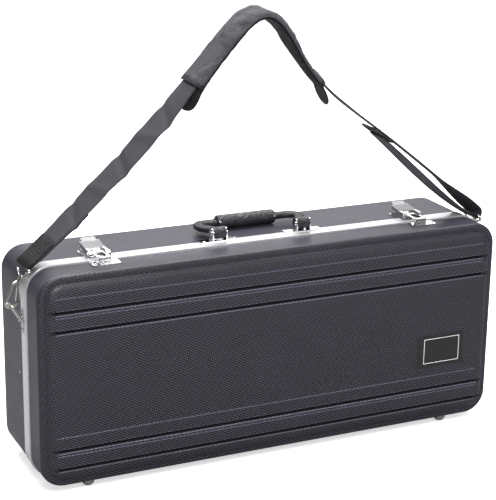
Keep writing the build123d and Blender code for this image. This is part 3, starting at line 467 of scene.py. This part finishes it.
def fold_dip(share, across):
    """Soft folds across the left run, in millimetres."""
    total = 0.0
    for x, lean, depth, spread in FOLDS:
        past = share * MAIN.length - (MAIN.distance_at_x(x) + lean * across)
        total -= depth * math.exp(-(past / spread) ** 2)
    return total


def webbing_route():
    """Places along the one length of webbing, from its sewn end to its tail.

    A place is a point, a twist, the main strand's share or None where no fold can lie, and 1 where the
    webbing runs onwards or -1 where it runs back under itself.
    """
    places = []
    for share in np.linspace(SEWN_TO, 0.0, UNDER_STEPS):
        places.append((MAIN.beside(share, -2 * HALF_WEB - SEWN_GAP), main_twist(share), share, -1))
    for angle in np.linspace(math.pi, 0, EYE_STEPS):
        reach = math.cos(angle) * left_of(EYE_WAY) - math.sin(angle) * EYE_WAY
        places.append((LEFT_EYE + EYE_TURN * reach, main_twist(0), None, 1))
    for share in np.linspace(0.0, 1.0, MAIN_STEPS):
        places.append((MAIN.at(share), main_twist(share), share, 1))
    start = math.atan2(LOOP_WAY[1], LOOP_WAY[0])
    for angle in np.linspace(start, start - math.pi, LOOP_STEPS)[1:-1]:
        twist = main_twist(1) * (1 - (start - angle) / math.pi)
        reach = np.array((math.cos(angle), math.sin(angle)))
        places.append((LOOP_CENTRE + LOOP_TURN * reach, twist, None, 1))
    for share in np.linspace(0.0, 1.0, TAIL_STEPS):
        twist = math.radians(TAIL_TWIST * math.sin(math.pi * share))
        places.append((TAIL.at(share), twist, None, 1))
    return places


def band_section(half_width, half_thick):
    """Points round a flat band's section with softly rounded edges, across and above its middle."""
    flat = np.linspace(-half_width + half_thick, half_width - half_thick, 10)
    under = [(w, -half_thick) for w in flat]
    over = [(w, half_thick) for w in reversed(flat)]
    return under + [(half_width, 0.0)] + over + [(-half_width, 0.0)]


def to_world(point, way, across, rise, twist):
    """A place across and above a route's point, in metres."""
    lift = rise * math.cos(twist) + across * math.sin(twist)
    side = across * math.cos(twist) - rise * math.sin(twist)
    x, z = point + left_of(way) * lift
    return Vector((x * MM, STRAP_Y * MM + side * MM, z * MM))


def tube_faces(rings, size, joined=False):
    """Quads between rings of one size; the last ring meets the first, or each end has a face over it."""
    faces = []
    for i in range(rings if joined else rings - 1):
        near, far = i * size, (i + 1) % rings * size
        for j in range(size):
            k = (j + 1) % size
            faces.append((near + j, near + k, far + k, far + j))
    if not joined:
        faces.append(tuple(reversed(range(size))))
        faces.append(tuple((rings - 1) * size + j for j in range(size)))
    return faces


def add_piece(name, verts, faces, material, body="strap"):
    """Smooth-shaded mesh that rides on a body."""
    mesh = bpy.data.meshes.new(name)
    mesh.from_pydata(verts, [], faces)
    mesh.materials.append(material)
    mesh.polygons.foreach_set("use_smooth", [True] * len(mesh.polygons))
    piece = bpy.data.objects.new(name, mesh)
    bpy.context.scene.collection.objects.link(piece)
    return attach(piece, body)


def build_webbing():
    """The twisted and folded strap, whose mesh carries each point's place along and across it."""
    route = webbing_route()
    points = [place[0] for place in route]
    section = band_section(HALF_WIDTH, HALF_WEB)
    verts, marks, run = [], [], 0.0
    for i, (point, twist, share, forward) in enumerate(route):
        before, after = points[max(i - 1, 0)], points[min(i + 1, len(points) - 1)]
        way = forward * unit(after - before)
        run += float(np.linalg.norm(point - before))
        for across, rise in section:
            dip = 0.0 if share is None else fold_dip(share, across)
            verts.append(to_world(point, way, across, rise + dip, twist))
            marks += (run * MM, across * MM, 0.0)
    webbing = add_piece("strap_webbing_band", verts, tube_faces(len(route), len(section)), WEBBING)
    webbing.data.attributes.new("strap", "FLOAT_VECTOR", "POINT").data.foreach_set("vector", marks)
    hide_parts("strap_webbing")


def build_end_patch():
    """Folded end of the webbing, sewn down over the strand from the left eye up."""
    narrower, thinner = 0.4, 0.9
    section = band_section(HALF_WIDTH - narrower, HALF_WEB * thinner)
    first = LEFT_EYE + EYE_TURN * left_of(EYE_WAY)
    places = [(first, EYE_WAY), ((first + MAIN.at(0)) / 2, EYE_WAY)]
    places += [(MAIN.at(share), MAIN.along(share)) for share in np.linspace(0.0, PATCH_TO, 10)]
    verts = [to_world(point, way, across, rise + 2 * HALF_WEB, main_twist(0))
             for point, way in places for across, rise in section]
    add_piece("strap_end_patch", verts, tube_faces(len(places), len(section)), PAD_UNDER)


# ---------------------------------------------------------------- shoulder pad
# Sizes are in millimetres, and heights are above the webbing's middle.
PAD_FROM, PAD_TO, PAD_TONGUE = 0.328, 0.630, 0.035       # shares of the main strand
PAD_START, PAD_END = PAD_FROM * MAIN.length, PAD_TO * MAIN.length
PAD_HALF = 27.6                   # half the cushion's width
PAD_MID = -5.6                    # height of the cushion's middle
PAD_THICK = 7.6                   # before it swells
PAD_ROUND = 24.0                  # radius of its ends' corners
TIP_HALF = 4.0                    # least half width, at its tips
TIP_FULL = 0.35                   # share of its thickness at the tips
TIP_LENGTH = 12.0                 # length over which that share grows by 1
TONGUE_DROOP = 13.0               # how far its free ends hang away, and how sharply
DROOP_POWER = 1.6
CUSHION_ROWS = 104
CUSHION_COLUMNS = 15              # from one seam to the other, over one face

SLEEVE_SIDE = 26.2                # half the sleeve's width over the cushion
SLEEVE_TOP = 2.3                  # its height at the webbing's edges
SLEEVE_FLAT = 20.0                # half the width of its top, which is crowned
SLEEVE_CROWN = 0.7
SLEEVE_ROWS = 76
SLEEVE_THICK = 1.3

BINDING_OUT = 1.1                 # the rolled binding lies this far outside the sleeve's edge
BINDING_RISE = -2.7
BINDING_INSET = 2.0               # it stops this short of the sleeve's ends
BINDING_HALF = (0.9, 1.2)         # half its width and its height
BINDING_ROWS = 90
BINDING_SIDES = 8


def pad_place(distance, across, rise):
    """Place on the pad: along the main strand, across it and above it, with its free ends hanging away."""
    share = distance / MAIN.length
    over = max(0.0, PAD_FROM - share, share - PAD_TO) / PAD_TONGUE
    droop = TONGUE_DROOP * over ** DROOP_POWER
    return to_world(MAIN.at(share), MAIN.along(share), across, rise - droop, main_twist(share))


def column_across(column):
    """How far across the cushion one of a face's columns lies, from 1 at its first seam towards -1."""
    return math.cos(math.pi * column / (CUSHION_COLUMNS - 1))


def cushion_verts():
    """Closed flat cushion with rounded ends, in rings across the strap: the under face, then the top one."""
    start, end = PAD_START - PAD_TONGUE * MAIN.length, PAD_END + PAD_TONGUE * MAIN.length
    verts = []
    for distance in np.linspace(start, end, CUSHION_ROWS):
        edge = min(distance - start, end - distance)
        inset = PAD_ROUND - math.sqrt(PAD_ROUND ** 2 - max(0.0, PAD_ROUND - edge) ** 2)
        half = max(TIP_HALF, PAD_HALF - inset)
        full = min(1.0, TIP_FULL + edge / TIP_LENGTH)
        for face in (-1, 1):
            for column in range(CUSHION_COLUMNS - 1):
                across = face * column_across(column)
                crown = math.sqrt(1 - across ** 4) * PAD_THICK / 2 * full
                verts.append(pad_place(distance, half * across, PAD_MID + face * crown))
    return verts


def sleeve_section():
    """The sleeve's cloth from one of the cushion's edges, over the webbing, to the other."""
    edge = SLEEVE_SIDE + 0.9
    side = [(-edge, -3.0), (-edge, -1.9), (-SLEEVE_SIDE, -0.6), (-SLEEVE_SIDE + 2.8, 0.9)]
    top = [(across, SLEEVE_TOP + SLEEVE_CROWN * (1 - (across / SLEEVE_FLAT) ** 2))
           for across in np.linspace(0.5 - SLEEVE_FLAT, SLEEVE_FLAT - 0.5, 14)]
    return side + top + [(-across, rise) for across, rise in reversed(side)]


def swell(piece, pinned, pressure, cap, slack):
    """Cloth simulation that puffs a piece out, with its seams held and each point's travel capped."""
    frames = 20
    before = np.array([tuple(v.co) for v in piece.data.vertices])
    group = piece.vertex_groups.new(name="seams")
    group.add(pinned, 1.0, "REPLACE")
    cloth = piece.modifiers.new("cloth", "CLOTH")
    settings = cloth.settings
    settings.quality = 5
    settings.mass = 0.25
    settings.tension_stiffness = settings.compression_stiffness = 12
    settings.bending_stiffness = 0.6
    settings.use_pressure = True
    settings.uniform_pressure_force = pressure
    settings.shrink_min = -slack
    settings.vertex_group_mass = group.name
    settings.effector_weights.gravity = 0.0
    cloth.collision_settings.use_collision = False
    cloth.point_cache.frame_start, cloth.point_cache.frame_end = 1, frames
    scene = bpy.context.scene
    for number in range(1, frames + 1):
        scene.frame_set(number)
    swollen = piece.evaluated_get(bpy.context.evaluated_depsgraph_get()).to_mesh()
    after = np.array([tuple(v.co) for v in swollen.vertices])
    piece.modifiers.remove(cloth)
    piece.vertex_groups.remove(group)
    scene.frame_set(1)
    move = after - before
    travel = np.linalg.norm(move, axis=1, keepdims=True)
    capped = move * np.minimum(1.0, cap / np.maximum(travel, 1e-9))
    piece.data.vertices.foreach_set("co", (before + capped).ravel())
    piece.data.update()


def subdivide(piece):
    modifier = piece.modifiers.new("smooth", "SUBSURF")
    modifier.levels = modifier.render_levels = 1


def build_cushion():
    """Padded cushion under the webbing. Its two seams and the strip under the webbing are held."""
    ring = 2 * (CUSHION_COLUMNS - 1)
    cushion = add_piece("shoulder_cushion", cushion_verts(), tube_faces(CUSHION_ROWS, ring), PAD_UNDER)
    first_of_top, margin = CUSHION_COLUMNS - 1, 1.0
    held = {0, first_of_top}
    for column in range(CUSHION_COLUMNS - 1):
        if PAD_HALF * abs(column_across(column)) < HALF_WIDTH + margin:
            held.add(first_of_top + column)
    seams = [i for i in range(CUSHION_ROWS * ring) if i % ring in held]
    swell(cushion, seams, pressure=4.0, cap=1.6 * MM, slack=0.03)
    subdivide(cushion)
    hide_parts("shoulder_pad")


def build_sleeve():
    """Sleeve over the webbing, held by the two outer rows and columns on each side."""
    section = sleeve_section()
    size = len(section)
    verts = [pad_place(distance, across, rise)
             for distance in np.linspace(PAD_START, PAD_END, SLEEVE_ROWS) for across, rise in section]
    faces = [(i * size + j, i * size + j + 1, (i + 1) * size + j + 1, (i + 1) * size + j)
             for i in range(SLEEVE_ROWS - 1) for j in range(size - 1)]
    sleeve = add_piece("shoulder_sleeve", verts, faces, PAD)
    held_columns, held_rows = (0, 1, size - 2, size - 1), (0, 1, SLEEVE_ROWS - 2, SLEEVE_ROWS - 1)
    seams = [i for i in range(SLEEVE_ROWS * size) if i % size in held_columns or i // size in held_rows]
    swell(sleeve, seams, pressure=3.0, cap=2.2 * MM, slack=0.05)
    solid = sleeve.modifiers.new("thickness", "SOLIDIFY")
    solid.thickness = SLEEVE_THICK * MM
    solid.offset = -1.0
    subdivide(sleeve)


def build_hem(name, end, inward):
    """Folded edge of the sleeve: a band over its end, a little proud of it."""
    outer, inner, lift, thick, bevel = 0.8, 8.5, 0.1, 1.5, 0.4
    line = sleeve_section()
    low, high = sorted((end - inward * outer, end + inward * inner))
    turn = [(low, lift), (low, thick - bevel), (low + 2 * bevel, thick),
            (high - 2 * bevel, thick), (high, thick - bevel), (high, lift)]
    verts = []
    for k, place in enumerate(line):
        before, after = line[max(k - 1, 0)], line[min(k + 1, len(line) - 1)]
        out = left_of(unit(np.array(after) - np.array(before)))
        for distance, proud in turn:
            across, rise = np.array(place) + out * proud
            verts.append(pad_place(distance, across, rise))
    subdivide(add_piece(name, verts, tube_faces(len(line), len(turn)), PAD_UNDER))


def build_binding(name, side):
    """Rolled binding where the sleeve's long edge is sewn to the cushion."""
    half_width, half_height = BINDING_HALF
    verts = []
    for distance in np.linspace(PAD_START + BINDING_INSET, PAD_END - BINDING_INSET, BINDING_ROWS):
        for j in range(BINDING_SIDES):
            angle = 2 * math.pi * j / BINDING_SIDES
            across = side * (SLEEVE_SIDE + BINDING_OUT) + half_width * math.cos(angle)
            verts.append(pad_place(distance, across, BINDING_RISE + half_height * math.sin(angle)))
    add_piece(name, verts, tube_faces(BINDING_ROWS, BINDING_SIDES), PAD_UNDER)


# ---------------------------------------------------------------- stitches and eyelets
STITCH_RINGS = ((-0.5, 0.25), (-0.25, 1.0), (0.25, 1.0), (0.5, 0.25))    # shares of its length and radius
STITCH_SIDES = ((-1, 0), (0, 1), (1, 0), (0, -1))


def web_place(distance, across, rise):
    """Place on the main strand's webbing."""
    share = distance / MAIN.length
    lift = rise + fold_dip(share, across)
    return to_world(MAIN.at(share), MAIN.along(share), across, lift, main_twist(share))


def build_stitches(name, lines, place, material, pitch, length, radius):
    """Rows of short thread stitches; a line is a start and an end as (along, across, rise)."""
    verts, faces = [], []
    for start, end in lines:
        start, end = np.array(start, float), np.array(end, float)
        reach = np.linalg.norm(end - start)
        way = (end - start) / reach
        aside = np.cross(way, (0, 0, 1.0))
        for i in range(int(reach / pitch)):
            middle = start + way * pitch * (i + 0.5)
            base = len(verts)
            for tip, wide in STITCH_RINGS:
                for around, up in STITCH_SIDES:
                    along, across, rise = middle + way * tip * length + aside * around * wide * radius
                    verts.append(place(along, across, rise + up * wide * radius))
            for face in tube_faces(len(STITCH_RINGS), len(STITCH_SIDES)):
                faces.append(tuple(base + index for index in face))
    add_piece(name, verts, faces, material)


def build_box_stitches():
    """Sewn box with a cross in it, on the strap's left end."""
    low, high, side, rise = 1.0, 25.0, 15.0, 2.9
    corners = [(low, -side, rise), (high, -side, rise), (high, side, rise), (low, side, rise)]
    lines = [(corners[a], corners[b]) for a, b in ((0, 1), (1, 2), (2, 3), (3, 0), (0, 2), (1, 3))]
    build_stitches("webbing_box_stitches", lines, web_place, WEBBING, pitch=3.4, length=2.6, radius=0.6)


def build_sleeve_stitches():
    """A row along each of the sleeve's long edges."""
    from_end, from_edge, rise = 10, 2.6, 1.2
    rows = [side * (SLEEVE_SIDE - from_edge) for side in (-1, 1)]
    lines = [((PAD_START + from_end, across, rise), (PAD_END - from_end, across, rise)) for across in rows]
    build_stitches("sleeve_stitches", lines, pad_place, THREAD, pitch=4.2, length=3.0, radius=0.45)


def build_eyelets():
    """Small plated eyelets through the grip's flaps, near its ends, facing the lid and a little up."""
    low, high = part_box("handle_grip")
    middle, radius = (low + high) / 2, (high.z - low.z) / 2
    inset, turns, tilt = 3.2 * MM, 20, math.radians(18)
    section = [(1.5, -0.3), (1.8, 0.4), (1.3, 0.7), (0.7, 0.3)]      # from the eyelet's middle, and out
    out = Vector((0, -math.cos(tilt), math.sin(tilt)))
    up = Vector((0, math.sin(tilt), math.cos(tilt)))
    for name, x in (("left", low.x + inset), ("right", high.x - inset)):
        verts = []
        for i in range(turns):
            angle = 2 * math.pi * i / turns
            way = Vector((1, 0, 0)) * math.cos(angle) + up * math.sin(angle)
            for reach, rise in section:
                sag = radius - math.sqrt(radius ** 2 - (reach * MM * math.sin(angle)) ** 2)
                height = out * (radius + rise * MM - sag)
                verts.append(Vector((x, middle.y, middle.z)) + height + way * reach * MM)
        faces = tube_faces(turns, len(section), joined=True)
        add_piece("grip_eyelet_" + name, verts, faces, PLATED, "handle")


# ---------------------------------------------------------------- camera, floor and light
CAMERA_PLACE = Vector((-0.93054, -1.93690, 0.95735))
CAMERA_AZIMUTH, CAMERA_ELEVATION, CAMERA_ROLL = map(math.radians, (-25.372, 17.295, 0.883))
CAMERA_LENS, CAMERA_SENSOR = 111.5, 36.0
WORLD_LIGHT = 0.44
LIGHTS = (      # name, place, target, width and height, watts
    ("key", (-0.7, -1.7, 2.3), (0, 0, 0.2), (1.2, 0.8), 46),
    ("top", (0.2, 0.7, 2.3), (0, 0, 0.3), (2.4, 1.0), 85),
    ("back_sheen", (1.2, 2.7, 1.25), (0, 0, 0.3), (2.6, 0.7), 8),
    ("front_strip", (0.9, -2.4, 1.7), (0, 0, 0.15), (0.4, 1.2), 16),
)


def add_camera():
    """Camera solved from the case's edges in the photo."""
    level = math.cos(CAMERA_ELEVATION)
    back = Vector((math.sin(CAMERA_AZIMUTH) * level, -math.cos(CAMERA_AZIMUTH) * level,
                   math.sin(CAMERA_ELEVATION)))
    right = Vector((math.cos(CAMERA_AZIMUTH), math.sin(CAMERA_AZIMUTH), 0))
    up = back.cross(right)
    turned_right = math.cos(CAMERA_ROLL) * right + math.sin(CAMERA_ROLL) * up
    turned_up = -math.sin(CAMERA_ROLL) * right + math.cos(CAMERA_ROLL) * up
    data = bpy.data.cameras.new("photo_camera")
    data.lens = CAMERA_LENS
    data.sensor_width = CAMERA_SENSOR
    camera = bpy.data.objects.new("photo_camera", data)
    bpy.context.scene.collection.objects.link(camera)
    axes = Matrix((turned_right, turned_up, back)).transposed()
    camera.matrix_world = Matrix.Translation(CAMERA_PLACE) @ axes.to_4x4()
    bpy.context.scene.camera = camera


def add_light(name, place, target, size, watts):
    data = bpy.data.lights.new(name, "AREA")
    data.shape = "RECTANGLE"
    data.size, data.size_y = size
    data.energy = watts
    light = bpy.data.objects.new(name, data)
    light.location = place
    light.rotation_euler = (Vector(target) - Vector(place)).to_track_quat("-Z", "Y").to_euler()
    bpy.context.scene.collection.objects.link(light)


def add_floor():
    """White floor that the camera sees as white, and that polished metal mirrors as grey."""
    bpy.ops.mesh.primitive_plane_add(size=30, location=(0, 0, -0.3 * MM))
    floor = bpy.context.object
    floor.name = "floor"
    g = Finish("floor_white")
    rays = g.add("LightPath").outputs
    bright = g.remap(g.noise(1.5, 2), 0, 1, 0.90, 0.96)
    bright = g.math("MULTIPLY", bright, g.math("MULTIPLY_ADD", rays["Is Glossy Ray"], -0.72, 1.0))
    g.set(Base_Color=g.ramp(bright, (0, 0, 0), (1, 1, 1)), Roughness=0.9, Specular_IOR_Level=0.1,
          Emission_Color=(1, 1, 1, 1), Emission_Strength=g.math("MULTIPLY", rays["Is Camera Ray"], 0.6))
    floor.data.materials.append(g.material)


def add_world():
    """Even light for matt surfaces, a patchy sky over a dark ground for what metal mirrors, white behind."""
    world = bpy.data.worlds.new("studio")
    bpy.context.scene.world = world
    world.use_nodes = True
    g = Graph(world.node_tree, "Generated")
    rays = g.add("LightPath").outputs
    even = g.tree.nodes["Background"]
    even.inputs["Color"].default_value = (0.93, 0.95, 1.0, 1)
    even.inputs["Strength"].default_value = WORLD_LIGHT
    fade = g.remap(g.split()[2], 0.0, 0.8, 0.04, 0.95)
    panes = g.remap(g.noise(2.1, 1.0, roughness=0.5), 0.44, 0.56, 0.10, 1.5)
    mirrored = g.add("Background", Strength=g.math("MULTIPLY", fade, panes))
    white = g.add("Background", Color=(1, 1, 1, 1))
    last = even.outputs[0]
    for ray, shader in (("Is Glossy Ray", mirrored), ("Is Camera Ray", white)):
        mix = g.add("MixShader", Fac=rays[ray])
        g.feed(mix.inputs[1], last)
        g.feed(mix.inputs[2], shader.outputs[0])
        last = mix.outputs[0]
    g.feed(g.tree.nodes["World Output"].inputs["Surface"], last)


paint_nodes()
build_webbing()
build_end_patch()
build_eyelets()
build_cushion()
build_sleeve()
build_hem("sleeve_hem_left", PAD_START, 1)
build_hem("sleeve_hem_right", PAD_END, -1)
build_binding("sleeve_binding_front", -1)
build_binding("sleeve_binding_back", 1)
build_box_stitches()
build_sleeve_stitches()

add_camera()
add_floor()
add_world()
for light in LIGHTS:
    add_light(*light)
bpy.context.scene.view_settings.view_transform = "Standard"
